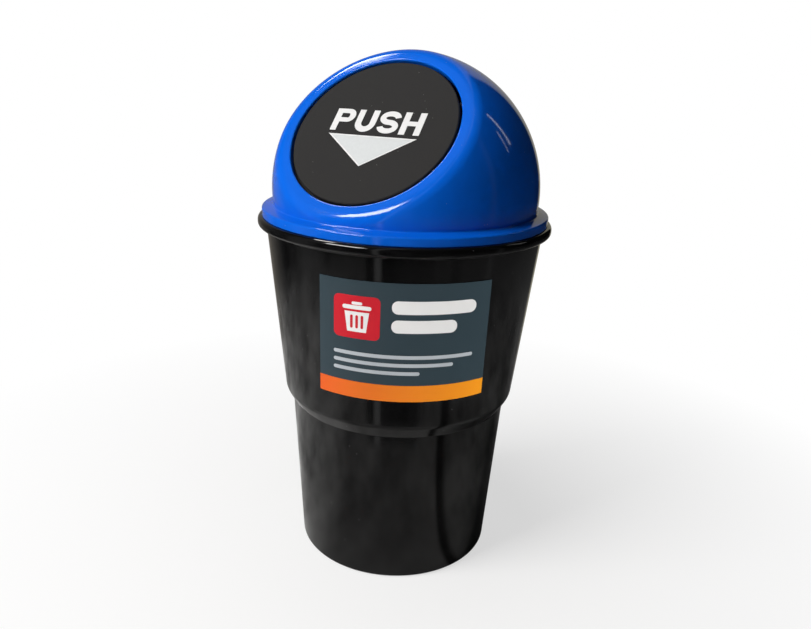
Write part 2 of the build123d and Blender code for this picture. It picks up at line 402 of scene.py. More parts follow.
class Finish(Graph):
    """A material's nodes, with the patterns that the finishes share."""

    def __init__(self, name):
        self.material = bpy.data.materials.new(name)
        self.material.use_nodes = True
        super().__init__(self.material.node_tree)
        self.tree.nodes.clear()
        self.place = self.node("ShaderNodeTexCoord", output="Object")

    def stretched(self, scale):
        """Object coordinates, stretched by a scale along each axis."""
        return self.node("ShaderNodeMapping", None, {"Vector": self.place, "Scale": scale})

    def noise(self, size, detail=3.0, roughness=0.55, vector=None):
        """Noise whose features are about a size across, from 0 to 1."""
        inputs = {
            "Vector": vector or self.place,
            "Scale": 1.0 / size,
            "Detail": detail,
            "Roughness": roughness,
        }
        return self.node("ShaderNodeTexNoise", None, inputs, "Fac")

    def specks(self, spacing, size, kept):
        """Small round specks on a loose lattice, of which a share is kept."""
        lattice = {"Vector": self.place, "Scale": 1.0 / spacing}
        cells = self.node("ShaderNodeTexVoronoi", None, lattice, "Distance")
        tint = self.node("ShaderNodeSeparateColor", None, {"Color": self.also(cells, "Color")}, "Red")
        return (cells < size / spacing) * (tint < kept)

    def bump(self, height, depth, strength=1.0, normal=None):
        """A bump of a real depth."""
        inputs = {"Height": height, "Distance": depth, "Strength": strength}
        if normal:
            inputs["Normal"] = normal
        return self.node("ShaderNodeBump", None, inputs)

    def blend(self, factor, first, second):
        """A mix of two shaders."""
        return self.node("ShaderNodeMixShader", None, {"Fac": factor, "Shader": first, "Shader_001": second})

    def surface(self, **sockets):
        """The closing shader, with its sockets in plain words, and the material."""
        inputs = {name.replace("_", " ").title(): value for name, value in sockets.items()}
        inputs["IOR"] = inputs.pop("Ior", 1.5)
        shader = self.node("ShaderNodeBsdfPrincipled", None, inputs)
        self.node("ShaderNodeOutputMaterial", None, {"Surface": shader})
        return self.material


def rgba(value):
    """A colour with full alpha, or a flow as it is."""
    return value if isinstance(value, Flow) else (*value, 1.0)


def scaled(rgb, factor):
    """A colour made lighter or darker."""
    return tuple(channel * factor for channel in rgb)


def gloss_plastic(name, rgb, roughness):
    """Polished moulded plastic: faint sink, handling smudges, hairline scratches and a little dust."""
    finish = Finish(name)
    shade = finish.noise(18 * MM, 2.0)
    smudge = finish.ramp(finish.noise(14 * MM, 5.0, 0.6), (0.42, 0.0), (0.68, 1.0))
    scratch = finish.noise(9 * MM, 2.0, 0.5, finish.stretched((26.0, 26.0, 1.0)))
    hairline = finish.ramp(scratch, (0.66, 0.0), (0.72, 1.0))
    dust = finish.specks(2.6 * MM, 0.11 * MM, 0.22)
    tint = finish.mix(shade, scaled(rgb, 0.93), scaled(rgb, 1.07))
    dusted = finish.mix(dust * 0.3, tint, (0.45, 0.45, 0.45))
    rough = roughness + smudge * 0.045 + hairline * 0.03 + dust * 0.4
    peel = finish.bump(finish.noise(1.6 * MM, 1.0), 0.0016 * MM)
    sink = finish.bump(finish.noise(26 * MM, 1.0), 0.09 * MM, 1.0, peel)
    return finish.surface(base_color=dusted, roughness=rough, normal=sink, ior=1.5)


def spark_plastic(name, rgb):
    """Matte plastic from a spark-eroded mould, with fine lint on it."""
    finish = Finish(name)
    grain = finish.noise(0.32 * MM, 2.0, 0.6)
    wide = finish.noise(7 * MM, 3.0)
    lint = finish.specks(1.5 * MM, 0.075 * MM, 0.25)
    tint = finish.mix(wide, scaled(rgb, 0.86), scaled(rgb, 1.14))
    grainy = finish.mix(grain, tint, scaled(rgb, 1.5))
    dusted = finish.mix(lint * 0.55, grainy, (0.5, 0.5, 0.5))
    rough = 0.74 + wide * 0.08 + grain * 0.08
    texture = finish.bump(grain, 0.02 * MM)
    return finish.surface(base_color=dusted, roughness=rough, normal=texture, ior=1.3)


def screen_ink(name, rgb):
    """Chalky screen-printed ink with a few pinholes."""
    finish = Finish(name)
    body = finish.noise(0.9 * MM, 4.0, 0.7)
    holes = finish.specks(1.2 * MM, 0.06 * MM, 0.15)
    tint = finish.mix(body, scaled(rgb, 0.9), scaled(rgb, 1.05))
    worn = finish.mix(holes * 0.6, tint, (0.08, 0.08, 0.08))
    rough = 0.5 + body * 0.2
    return finish.surface(base_color=worn, roughness=rough, normal=finish.bump(body, 0.008 * MM))


def printed_film(name, rgb, end=None, across=None):
    """Satin printed film, of one colour or with a colour that runs to another across the label."""
    finish = Finish(name)
    plain, last = rgb, end or rgb
    if end:
        run = finish.ramp(finish.along(finish.place, across) + 0.5, (0.0, 0.0), (1.0, 1.0))
        plain = finish.mix(run, rgb, end)
    fibre = finish.noise(0.5 * MM, 4.0, 0.65)
    wave = finish.noise(16 * MM, 2.0)
    tint = finish.mix(fibre * 0.16, plain, finish.mix(wave, scaled(rgb, 0.6), scaled(last, 1.35)))
    rough = 0.34 + fibre * 0.1 + wave * 0.05
    buckle = finish.bump(wave, 0.02 * MM)
    return finish.surface(base_color=tint, roughness=rough, normal=buckle, ior=1.38)


def drawn_steel(name, rgb):
    """Bright steel with fine lines along the pin."""
    finish = Finish(name)
    lines = finish.noise(0.12 * MM, 2.0, 0.5, finish.stretched((0.02, 1.0, 1.0)))
    stain = finish.noise(5 * MM, 3.0)
    tint = finish.mix(stain, scaled(rgb, 0.8), rgb)
    rough = 0.3 + lines * 0.16 + stain * 0.1
    return finish.surface(
        base_color=tint, roughness=rough, metallic=1.0, normal=finish.bump(lines, 0.004 * MM)
    )


def turned(origin, radius, start, sweep, steps):
    """Points on an arc in the plane."""
    turns = [start + sweep * step / steps for step in range(steps + 1)]
    return [(origin[0] + radius * math.cos(t), origin[1] + radius * math.sin(t)) for t in turns]


def rounded(corners):
    """Points through corners in the plane, each corner cut by an arc of its own radius."""
    chain = []
    for index, (x, y, radius) in enumerate(corners):
        here = Vector((x, y))
        if radius == 0:
            chain.append((x, y))
            continue
        back = (Vector(corners[index - 1][:2]) - here).normalized()
        ahead = (Vector(corners[index + 1][:2]) - here).normalized()
        half = back.angle(ahead) / 2
        centre = here + (back + ahead).normalized() * (radius / math.sin(half))
        begin = here + back * (radius / math.tan(half)) - centre
        sweep = math.copysign(math.pi - 2 * half, back.x * ahead.y - back.y * ahead.x) * -1
        steps = max(3, round(abs(sweep) / ARC_STEP))
        chain += turned(centre, radius, math.atan2(begin.y, begin.x), sweep, steps)
    return chain


def divided(chain, longest):
    """The same points, with long straight runs divided into even steps."""
    points = [chain[0]]
    for start, end in zip(chain, chain[1:]):
        steps = max(1, math.ceil(math.dist(start, end) / longest))
        points += [tuple(point) for point in np.linspace(start, end, steps + 1)[1:]]
    return points


def add_object(name, data):
    """An object at the origin, in the scene."""
    obj = bpy.data.objects.new(name, data)
    bpy.context.scene.collection.objects.link(obj)
    return obj


def mesh_of(name, points, edges=(), faces=()):
    """A mesh from plain lists."""
    mesh = bpy.data.meshes.new(name)
    mesh.from_pydata([tuple(point) for point in points], list(edges), list(faces))
    mesh.update()
    return mesh


def as_mesh(obj):
    """Replaces an object and its modifiers by its finished mesh."""
    depsgraph = bpy.context.evaluated_depsgraph_get()
    mesh = bpy.data.meshes.new_from_object(obj.evaluated_get(depsgraph), depsgraph=depsgraph)
    name = obj.name
    bpy.data.objects.remove(obj)
    mesh.name = name
    return add_object(name, mesh)


def closed(obj):
    """Merges doubles and turns faces outwards."""
    shape = bmesh.new()
    shape.from_mesh(obj.data)
    bmesh.ops.remove_doubles(shape, verts=shape.verts, dist=MERGE_DISTANCE)
    bmesh.ops.recalc_face_normals(shape, faces=shape.faces)
    shape.to_mesh(obj.data)
    shape.free()
    return obj


def smooth(obj):
    """Shades smooth between sharp edges."""
    obj.data.shade_smooth()
    obj.data.set_sharp_from_angle(angle=SHARP_ANGLE)
    return obj


def weighted(obj):
    """Lets large faces rule the shading, so that flat runs stay flat beside their rounds."""
    modifier = obj.modifiers.new("Weighted normals", "WEIGHTED_NORMAL")
    modifier.keep_sharp = True
    return as_mesh(obj)


def socket_in(tree, name, kind, value=None):
    """A named input of a Geometry Nodes tree."""
    socket = tree.interface.new_socket(name, in_out="INPUT", socket_type=kind)
    if value is not None:
        socket.default_value = value
    return socket


def new_tree(name, inputs):
    """A Geometry Nodes tree with named inputs, and its graph and their flows."""
    tree = bpy.data.node_groups.new(name, "GeometryNodeTree")
    socket_in(tree, "Geometry", "NodeSocketGeometry")
    for label, (kind, value) in inputs.items():
        socket_in(tree, label, kind, value)
    socket_in(tree, "Material", "NodeSocketMaterial")
    tree.interface.new_socket("Geometry", in_out="OUTPUT", socket_type="NodeSocketGeometry")
    graph = Graph(tree)
    source = graph.node("NodeGroupInput")
    flows = {label: graph.also(source, label) for label in ("Geometry", *inputs, "Material")}
    return graph, flows


def close_tree(graph, geometry, material):
    """Ends a tree with plain, merged and painted geometry."""
    doubles = {"Geometry": geometry, "Distance": MERGE_DISTANCE}
    merged = graph.node("GeometryNodeMergeByDistance", None, doubles)
    shaded = graph.node("GeometryNodeSetShadeSmooth", None, {"Geometry": merged})
    real = graph.node("GeometryNodeRealizeInstances", None, {"Geometry": shaded})
    painted = graph.node("GeometryNodeSetMaterial", None, {"Geometry": real, "Material": material})
    graph.node("NodeGroupOutput", None, {"Geometry": painted})
    return graph.tree


def lathe_tree():
    """Turns a half section, drawn in X and Y, round the upright axis."""
    carrier = 0.1
    graph, flow = new_tree("Lathe", {"Segments": ("NodeSocketInt", 128)})
    section = graph.node("GeometryNodeMeshToCurve", None, {"Mesh": flow["Geometry"]})
    shift = {"Geometry": section, "Translation": (-carrier, 0.0, 0.0), "Scale": (1.0, -1.0, 1.0)}
    moved = graph.node("GeometryNodeTransform", None, shift)
    circle = {"Resolution": flow["Segments"], "Radius": carrier}
    rail = graph.node("GeometryNodeCurvePrimitiveCircle", None, circle, "Curve")
    wall = graph.node("GeometryNodeCurveToMesh", None, {"Curve": rail, "Profile Curve": moved})
    return close_tree(graph, wall, flow["Material"])


def wire_tree():
    """Runs a round wire along a path."""
    sizes = {"Diameter": ("NodeSocketFloat", MM), "Sides": ("NodeSocketInt", 16)}
    graph, flow = new_tree("Wire", sizes)
    path = graph.node("GeometryNodeMeshToCurve", None, {"Mesh": flow["Geometry"]})
    circle = {"Resolution": flow["Sides"], "Radius": flow["Diameter"] * 0.5}
    section = graph.node("GeometryNodeCurvePrimitiveCircle", None, circle, "Curve")
    wall = {"Curve": path, "Profile Curve": section, "Fill Caps": True}
    return close_tree(graph, graph.node("GeometryNodeCurveToMesh", None, wall), flow["Material"])


def wrap_tree():
    """Lays a flat slab, drawn in X and Y, on a drafted round wall, square from the front."""
    sizes = {
        "Middle Radius": ("NodeSocketFloat", 0.0),
        "Draft": ("NodeSocketFloat", 0.0),
        "Middle Height": ("NodeSocketFloat", 0.0),
        "Turn": ("NodeSocketFloat", 0.0),
    }
    graph, flow = new_tree("Wrap on wall", sizes)
    place = graph.node("GeometryNodeInputPosition")
    x = graph.node("ShaderNodeSeparateXYZ", None, {"Vector": place}, "X")
    y = graph.also(x, "Y")
    radius = flow["Middle Radius"] + flow["Draft"] * y + graph.also(x, "Z")
    depth = (radius * radius - x * x) ** 0.5
    height = flow["Middle Height"] + y
    front = {"X": x, "Y": depth * -1.0, "Z": height}
    on_wall = graph.node("ShaderNodeCombineXYZ", None, front)
    turn = {"Vector": on_wall, "Axis": (0.0, 0.0, 1.0), "Angle": flow["Turn"]}
    aimed = graph.node("ShaderNodeVectorRotate", {"rotation_type": "AXIS_ANGLE"}, turn)
    laid = graph.node("GeometryNodeSetPosition", None, {"Geometry": flow["Geometry"], "Position": aimed})
    return close_tree(graph, laid, flow["Material"])


def grown(name, mesh, tree, material, **inputs):
    """An object whose mesh a Geometry Nodes tree made from a simple one."""
    obj = add_object(name, mesh)
    modifier = obj.modifiers.new(tree.name, "NODES")
    modifier.node_group = tree
    values = {label.replace("_", " ").title(): value for label, value in inputs.items()}
    values["Material"] = material
    for item in tree.interface.items_tree:
        if item.in_out == "INPUT" and item.name in values:
            modifier[item.identifier] = values[item.name]
    return as_mesh(obj)


def chain_mesh(name, points):
    """A mesh of edges through points."""
    return mesh_of(name, points, [(k, k + 1) for k in range(len(points) - 1)])


def cup_section(cup):
    """Half section of the cup, from under the foot, out over the wall and lip, and back inside."""
    step_top = cup.lower_height + cup.step_height
    step_radius = cup.lower_top_radius + cup.step_width
    lip_bottom = cup.seat - cup.lip_thickness
    wall_top = cup.lip_radius - cup.lip_overhang
    draft = (wall_top - step_radius) / cup.upper_height
    lower_draft = (cup.lower_top_radius - cup.foot_radius) / cup.lower_height
    floor_top = cup.foot_recess + cup.floor
    ring_inside = cup.foot_radius - cup.foot_ring_width
    mouth = wall_top - cup.wall + draft * cup.lip_thickness
    edge = cup.edge_round
    corners = [
        (0.0, cup.foot_recess, 0.0),
        (ring_inside, cup.foot_recess, 0.6 * edge),
        (ring_inside, 0.0, 0.6 * edge),
        (cup.foot_radius, 0.0, cup.foot_round),
        (cup.lower_top_radius, cup.lower_height, cup.step_corner),
        (step_radius, step_top, cup.step_round),
        (wall_top, lip_bottom, 0.35 * cup.lip_overhang),
        (cup.lip_radius, lip_bottom, 0.35 * cup.lip_thickness),
        (cup.lip_radius, cup.seat, 0.5 * cup.lip_overhang),
        (mouth, cup.seat, edge),
        (step_radius - cup.wall, step_top, edge),
        (cup.lower_top_radius - cup.wall, cup.lower_height, edge),
        (cup.foot_radius + lower_draft * floor_top - cup.wall, floor_top, cup.floor_round),
        (0.0, floor_top, 0.0),
    ]
    return divided(rounded(corners), longest=4 * MM)


def face_directions(lid):
    """Across, up the slope and out of the lid's flat face."""
    lean = lid.face_tilt
    up_slope = Vector((0.0, math.sin(lean), math.cos(lean)))
    out = Vector((0.0, -math.cos(lean), math.sin(lean)))
    return Vector((1.0, 0.0, 0.0)), up_slope, out


def dome_centre(lid):
    """Centre of the dome's ball."""
    return Vector((0.0, 0.0, CUP_TOP.z + lid.dome_lift))


def dome_radius(lid):
    """Radius of the dome's ball."""
    return lid.flange_radius - lid.dome_ledge


class FacedBall:
    """A ball with one flat tilted face whose rim is rolled over, cut off at a level below."""

    def __init__(self, lid, radius, distance, blend, columns):
        self.radius, self.distance, self.blend = radius, distance, blend
        self.flat = math.sqrt((radius - blend) ** 2 - (distance - blend) ** 2)
        self.tangent = math.atan2(distance - blend, self.flat)
        self.centre = np.array(dome_centre(lid))
        across, up_slope, out = (np.array(d) for d in face_directions(lid))
        self.out = out
        turns = np.linspace(0.0, 2 * np.pi, columns, endpoint=False)
        self.spokes = np.outer(np.cos(turns), across) + np.outer(np.sin(turns), up_slope)

    def row(self, reach, rise):
        """Points of one row, from each column's reach from the face's axis and rise along it."""
        reach, rise = (np.broadcast_to(value, len(self.spokes)) for value in (reach, rise))
        return self.centre + self.spokes * reach[:, None] + self.out * rise[:, None]

    def run_to(self, level):
        """Length of the run from the flat's rim down to a level, in each column."""
        lean = self.spokes[:, 2]
        drop = level - self.centre[2]
        size = np.hypot(lean, self.out[2])
        bearing = np.arctan2(self.out[2], lean)
        ball = bearing - np.arccos(np.clip(drop / self.radius / size, -1, 1))
        roll_drop = drop - (self.distance - self.blend) * self.out[2] - self.flat * lean
        roll = bearing - np.arccos(np.clip(roll_drop / self.blend / size, -1, 1))
        on_roll = self.blend * (np.pi / 2 - roll)
        on_ball = self.blend * (np.pi / 2 - self.tangent) + self.radius * (self.tangent - ball)
        return np.where(ball >= self.tangent, on_roll, on_ball)

    def at(self, run):
        """Points a run below the flat's rim: first on the roll, then on the ball."""
        rolled = self.blend * (np.pi / 2 - self.tangent)
        roll = np.pi / 2 - run / self.blend
        ball = self.tangent - (run - rolled) / self.radius
        on_roll = run < rolled
        reach = np.where(on_roll, self.flat + self.blend * np.cos(roll), self.radius * np.cos(ball))
        rise = np.where(
            on_roll, self.distance - self.blend + self.blend * np.sin(roll), self.radius * np.sin(ball)
        )
        return self.row(reach, rise)


def dome_foot(lid):
    """Centre of the round between dome and flange, and its ends on them, in a half section."""
    radius, fillet = dome_radius(lid), lid.dome_foot_round
    ball = Vector((0.0, dome_centre(lid).z))
    shoulder = Vector((lid.flange_radius, CUP_TOP.z + lid.flange_skirt))
    neck = Vector((neck_radius(lid), shoulder.y + lid.flange_slope))
    along = (neck - shoulder).normalized()
    up = Vector((along.y, -along.x))
    start = shoulder + up * fillet - ball
    middle = start.dot(along)
    back = math.sqrt(middle**2 - start.length_squared + (radius + fillet) ** 2)
    centre = ball + start - along * (middle + back)
    on_ball = centre + (ball - centre).normalized() * fillet
    return centre, on_ball, centre - up * fillet


def neck_radius(lid):
    """Radius of the dome's inside where it meets the neck."""
    drop = lid.dome_lift - lid.flange_plate
    return math.sqrt((dome_radius(lid) - lid.dome_wall) ** 2 - drop**2)


def outside_rows(lid, outer, opening):
    """Rows of the lid's outside: the hole's edge, the ring, the roll and the dome down to its foot."""
    edge, front = lid.ring_edge, outer.distance
    round_edge = turned((opening + edge, front - edge), edge, math.pi, -math.pi / 2, EDGE_ROWS)
    rows = [outer.row(*point) for point in round_edge]
    ring = np.linspace(opening + edge, outer.flat, RING_ROWS + 1)[1:-1]
    rows += [outer.row(reach, front) for reach in ring]
    run = outer.run_to(dome_foot(lid)[1].y)
    return rows + [outer.at(run * (k / lid.rows) ** CROWDING) for k in range(lid.rows + 1)]


def flange_rows(lid, last):
    """Rows on from the dome's last one: the round at its foot, the flange and the spigot.

    In front the face's roll comes down to the foot, so the first rows ease from its outline into circles.
    """
    centre, on_ball, on_slope = dome_foot(lid)
    begin = math.atan2(on_ball.y - centre.y, on_ball.x - centre.x)
    end = math.atan2(on_slope.y - centre.y, on_slope.x - centre.x)
    foot = turned(centre, lid.dome_foot_round, begin, (end - begin) % (2 * math.pi), FOOT_ROWS)
    seat, depth = CUP_TOP.z, CUP_TOP.z - lid.spigot_depth
    bore = lid.spigot_end_radius - lid.spigot_wall
    corners = [
        (*on_slope, 0.0),
        (lid.flange_radius, seat + lid.flange_skirt, lid.flange_round),
        (lid.flange_radius, seat, lid.flange_edge),
        (lid.spigot_radius, seat, lid.spigot_corner),
        (lid.spigot_end_radius, depth, lid.spigot_edge),
        (bore, depth, lid.spigot_edge),
        (bore, seat + lid.flange_plate - lid.spigot_wall, 0.0),
    ]
    lower = divided(rounded(corners), longest=2 * MM)
    azimuth = np.arctan2(last[:, 1], last[:, 0])
    spread = np.hypot(last[:, 0], last[:, 1]) - on_ball.x
    easing = [(1 - k / FOOT_ROWS) ** 2 for k in range(FOOT_ROWS + 1)] + [0.0] * (len(lower) - 1)
    rows = []
    for (reach, height), left in zip(foot[1:] + lower[1:], easing[1:]):
        around = reach + spread * left
        level = np.full_like(azimuth, height)
        rows.append(np.column_stack((around * np.cos(azimuth), around * np.sin(azimuth), level)))
    return rows


def lid_mesh(lid):
    """The moulded lid as one closed grid: face, dome, flange, spigot, and back up the inside."""
    radius, wall = dome_radius(lid), lid.dome_wall
    distance = radius - lid.face_depth
    outer = FacedBall(lid, radius, distance, lid.face_blend, lid.columns)
    inner = FacedBall(lid, radius - wall, distance - wall, lid.face_blend - wall, lid.columns)
    opening = outer.flat - lid.ring_width
    rows = outside_rows(lid, outer, opening)
    rows += flange_rows(lid, rows[-1])
    inside = inner.run_to(CUP_TOP.z + lid.flange_plate)
    rows += [inner.at(inside * k / INSIDE_ROWS) for k in range(INSIDE_ROWS, -1, -1)]
    back = np.linspace(inner.flat, opening, BACK_ROWS + 1)[1:]
    rows += [inner.row(reach, distance - wall) for reach in back]
    rows.append(outer.row(opening, distance - wall / 2))
    return grid_mesh("dome_shell", rows)


def grid_mesh(name, rows):
    """A closed mesh of rows of points, joined round each row and from row to row, last to first."""
    columns = len(rows[0])
    faces = []
    for k in range(len(rows)):
        this, after = k * columns, (k + 1) % len(rows) * columns
        for j in range(columns):
            beside = (j + 1) % columns
            faces.append((this + j, this + beside, after + beside, after + j))
    return mesh_of(name, np.concatenate(rows), (), faces)


def ear_outline(lid):
    """An ear square to the pin: a straight root, a round end, the pin's seat and its snap-in slot."""
    radius, hole, half = lid.ear_radius, lid.ear_hole, lid.snap_slot / 2
    outside = math.asin(half / radius)
    inside = math.asin(half / hole)
    quarter = math.pi / 2
    right = turned((0, 0), radius, -quarter + outside, quarter - outside, EAR_STEPS)
    seat = turned((0, 0), hole, -quarter - inside, -2 * (math.pi - inside), SEAT_STEPS)
    left = turned((0, 0), radius, -2 * quarter, quarter - outside, EAR_STEPS)
    return right + [(radius, lid.ear_reach), (-radius, lid.ear_reach)] + left + seat


def prism(shape, corners, depth):
    """Adds a closed prism to a bmesh: an outline in space, carried along a depth."""
    base = shape.faces.new([shape.verts.new(corner) for corner in corners])
    top = bmesh.ops.extrude_face_region(shape, geom=[base], use_keep_orig=True)
    verts = [item for item in top["geom"] if isinstance(item, bmesh.types.BMVert)]
    bmesh.ops.translate(shape, verts=verts, vec=depth)


def add_ears(lid, obj):
    """Adds the two hinge ears to the lid's mesh."""
    across, up_slope, out = face_directions(lid)
    shape = bmesh.new()
    shape.from_mesh(obj.data)
    for start in (lid.ear_inner, -lid.ear_inner - lid.ear_thickness):
        origin = HINGE + across * start
        corners = [origin + up_slope * x + out * y for x, y in ear_outline(lid)]
        prism(shape, corners, across * lid.ear_thickness)
    shape.to_mesh(obj.data)
    shape.free()


def spring_path(hinge, lid):
    """Points along the spring: the leg behind the ring, the coil and the leg behind the flap."""
    across, up_slope, out = face_directions(lid)
    radius = hinge.coil_radius

    def leaves(up, forward):
        """Where a leg to a point leaves the coil, as an angle round the pin, and the leg's length."""
        spread = math.acos(radius / math.hypot(up, forward))
        bearing = math.atan2(forward, up)
        return bearing + math.copysign(spread, up), math.sqrt(up**2 + forward**2 - radius**2)

    start, ring_leg = leaves(hinge.ring_leg_up, hinge.ring_leg_out)
    end, flap_leg = leaves(hinge.flap_leg_up, hinge.flap_leg_out)
    sweep = 2 * math.pi * hinge.turns + end - start
    width = hinge.pitch * sweep / (2 * math.pi)
    steps = hinge.steps * hinge.turns
    turns = [start + sweep * k / steps for k in range(steps + 1)]
    coil = [
        HINGE + up_slope * (radius * math.cos(t)) + out * (radius * math.sin(t))
        + across * (width * ((t - start) / sweep - 0.5))
        for t in turns
    ]

    def tangent(t):
        """Direction of the wire at an angle round the pin."""
        circling = out * math.cos(t) - up_slope * math.sin(t)
        return (circling * radius + across * (hinge.pitch / (2 * math.pi))).normalized()

    first = coil[0] - tangent(turns[0]) * ring_leg
    last = coil[-1] + tangent(turns[-1]) * flap_leg
    return [first, *coil, last], across * (width / 2)


def stroked(path, width):
    """Outline of a pen stroke of a width along a path in the plane."""
    points = np.array(path)
    along = np.gradient(points, axis=0)
    along /= np.linalg.norm(along, axis=1)[:, None]
    side = np.column_stack((-along[:, 1], along[:, 0])) * width / 2
    return [tuple(point) for point in np.concatenate((points + side, (points - side)[::-1]))]


def oval(centre, half_width, half_height, start, sweep, steps):
    """Points on an oval arc in the plane."""
    turns = [start + sweep * k / steps for k in range(steps + 1)]
    return [(centre[0] + half_width * math.cos(t), centre[1] + half_height * math.sin(t)) for t in turns]


def letter_p(left, flap):
    """Outline and counter of a P."""
    pen, bar, low, high = flap.stroke, flap.bar, flap.base, flap.base + flap.cap
    bowl = flap.bowl * flap.cap
    turn_x = left + flap.letter - 0.5 * bowl
    middle = high - bowl / 2
    half = 0.5 * bowl
    outer = oval((turn_x, middle), half, half, -math.pi / 2, math.pi, BOWL_STEPS)
    hole = oval((turn_x, middle), half - pen, half - bar, -math.pi / 2, math.pi, BOWL_STEPS)
    shape = [(left, high), (left, low), (left + pen, low), (left + pen, high - bowl)]
    counter = [(left + pen, high - bar), (left + pen, high - bowl + bar)]
    return [shape + outer, counter + hole]


def letter_u(left, flap):
    """Outline of a U."""
    half = (flap.letter - flap.stroke) / 2
    middle = left + flap.letter / 2
    turn_y = flap.base + flap.stroke / 2 + half
    high = flap.base + flap.cap
    bend = oval((middle, turn_y), half, half, math.pi, math.pi, BEND_STEPS)
    left_arm = [(middle - half, high), (middle - half, (high + turn_y) / 2)]
    right_arm = [(middle + half, (high + turn_y) / 2), (middle + half, high)]
    return [stroked(left_arm + bend + right_arm, flap.stroke)]


def letter_s(left, flap):
    """Outline of an S, drawn with one stroke along two ovals."""
    pen = 0.5 * (flap.stroke + flap.bar)
    half_width = (flap.letter - pen) / 2
    half_height = (flap.cap - pen) / 4
    x, y = left + flap.letter / 2, flap.base + flap.cap / 2
    sweep = 1.5 * math.pi - flap.hook
    upper = oval((x, y + half_height), half_width, half_height, flap.hook, sweep, BEND_STEPS)
    lower = oval((x, y - half_height), half_width, half_height, math.pi / 2, -sweep, BEND_STEPS)
    return [stroked(upper + lower[1:], pen)]


def letter_h(left, flap):
    """Outline of an H."""
    right = left + flap.letter
    inner_left, inner_right = left + flap.stroke, right - flap.stroke
    low, high = flap.base, flap.base + flap.cap
    bar_low = (low + high - flap.bar) / 2
    bar_high = bar_low + flap.bar
    return [[
        (left, low), (inner_left, low), (inner_left, bar_low), (inner_right, bar_low),
        (inner_right, low), (right, low), (right, high), (inner_right, high),
        (inner_right, bar_high), (inner_left, bar_high), (inner_left, high), (left, high),
    ]]


def inset(corners, border):
    """A triangle moved in from another by a border."""
    sides = [math.dist(corners[k - 1], corners[k - 2]) for k in range(3)]
    middle = np.average(corners, axis=0, weights=sides)
    (ax, ay), (bx, by), (cx, cy) = corners
    inner_radius = abs((bx - ax) * (cy - ay) - (by - ay) * (cx - ax)) / sum(sides)
    kept = 1 - border / inner_radius
    return [tuple(middle + (np.array(corner) - middle) * kept) for corner in corners]


def inked(name, outlines, layer, material, flap, lid):
    """A thin flat print on the flap's front, from outlines in its plane, in a layer over another."""
    drawing = bpy.data.curves.new(name, "CURVE")
    drawing.dimensions = "2D"
    drawing.fill_mode = "BOTH"
    drawing.extrude = flap.ink / 2
    for outline in outlines:
        spline = drawing.splines.new("POLY")
        spline.points.add(len(outline) - 1)
        for point, (x, y) in zip(spline.points, outline):
            point.co = (x, y, 0.0, 1.0)
        spline.use_cyclic_u = True
    print_piece = as_mesh(add_object(name, drawing))
    across, up_slope, out = face_directions(lid)
    front = dome_centre(lid) + out * (dome_radius(lid) - lid.face_depth - flap.recess)
    middle = front + out * (flap.ink / 2 - flap.ink_sunk + layer * (flap.ink - flap.ink_sunk))
    axes = Matrix((across, up_slope, out)).transposed().to_4x4()
    print_piece.data.transform(Matrix.Translation(middle) @ axes @ Matrix.Rotation(flap.turn, 4, "Z"))
    print_piece.data.materials.clear()
    print_piece.data.materials.append(material)
    return closed(print_piece)


def panel(low, high, label):
    """Columns of a flat shape between a lower and an upper line, given by corners from left to right."""
    left, right = low[0][0], low[-1][0]
    steps = max(2, math.ceil((right - left) / label.column))
    xs = sorted({*np.linspace(left, right, steps + 1), *(x for x, _ in low), *(x for x, _ in high)})
    bottom = np.interp(xs, *zip(*low))
    top = np.interp(xs, *zip(*high))
    return list(zip(xs, bottom, top))


def bar_panel(left, right, low, high, corner, label):
    """Columns of a level bar with round corners."""
    turns = np.linspace(0, math.pi / 2, CORNER_STEPS + 1)
    bends = [(1 - math.cos(t), 1 - math.sin(t)) for t in turns]
    ends = [(left + corner * dx, corner * dy) for dx, dy in bends]
    ends += [(right - corner * dx, corner * dy) for dx, dy in reversed(bends)]
    return panel([(x, low + cut) for x, cut in ends], [(x, high - cut) for x, cut in ends], label)


def slab_mesh(name, panels, lift, thickness, label):
    """One mesh of closed flat slabs, one from each panel's columns."""
    points, faces = [], []
    for columns in panels:
        rows = 1 + max(1, math.ceil(max(top - bottom for _, bottom, top in columns) / label.row))
        first, sheet = len(points), rows * len(columns)
        for z in (lift, lift + thickness):
            for x, bottom, top in columns:
                points += [(x, y, z) for y in np.linspace(bottom, top, rows)]
        for i in range(len(columns) - 1):
            for j in range(rows - 1):
                a = first + i * rows + j
                quad = (a, a + rows, a + rows + 1, a + 1)
                faces += [quad[::-1], tuple(corner + sheet for corner in quad)]
        rim = [first + i * rows for i in range(len(columns))]
        rim += [rim[-1] + j for j in range(1, rows)]
        rim += [first + i * rows + rows - 1 for i in range(len(columns) - 2, -1, -1)]
        rim += [first + j for j in range(rows - 2, 0, -1)]
        faces += [(a, b, b + sheet, a + sheet) for a, b in zip(rim, rim[1:] + rim[:1])]
    return mesh_of(name, points, (), faces)


def text_bar(left, right, bottom, height, label):
    """Columns of a bar with round ends, as a stand-in for a line of words or a part of a sign."""
    corner = min(0.45 * height, 0.5 * (right - left))
    return bar_panel(left, right, bottom, bottom + height, corner, label)


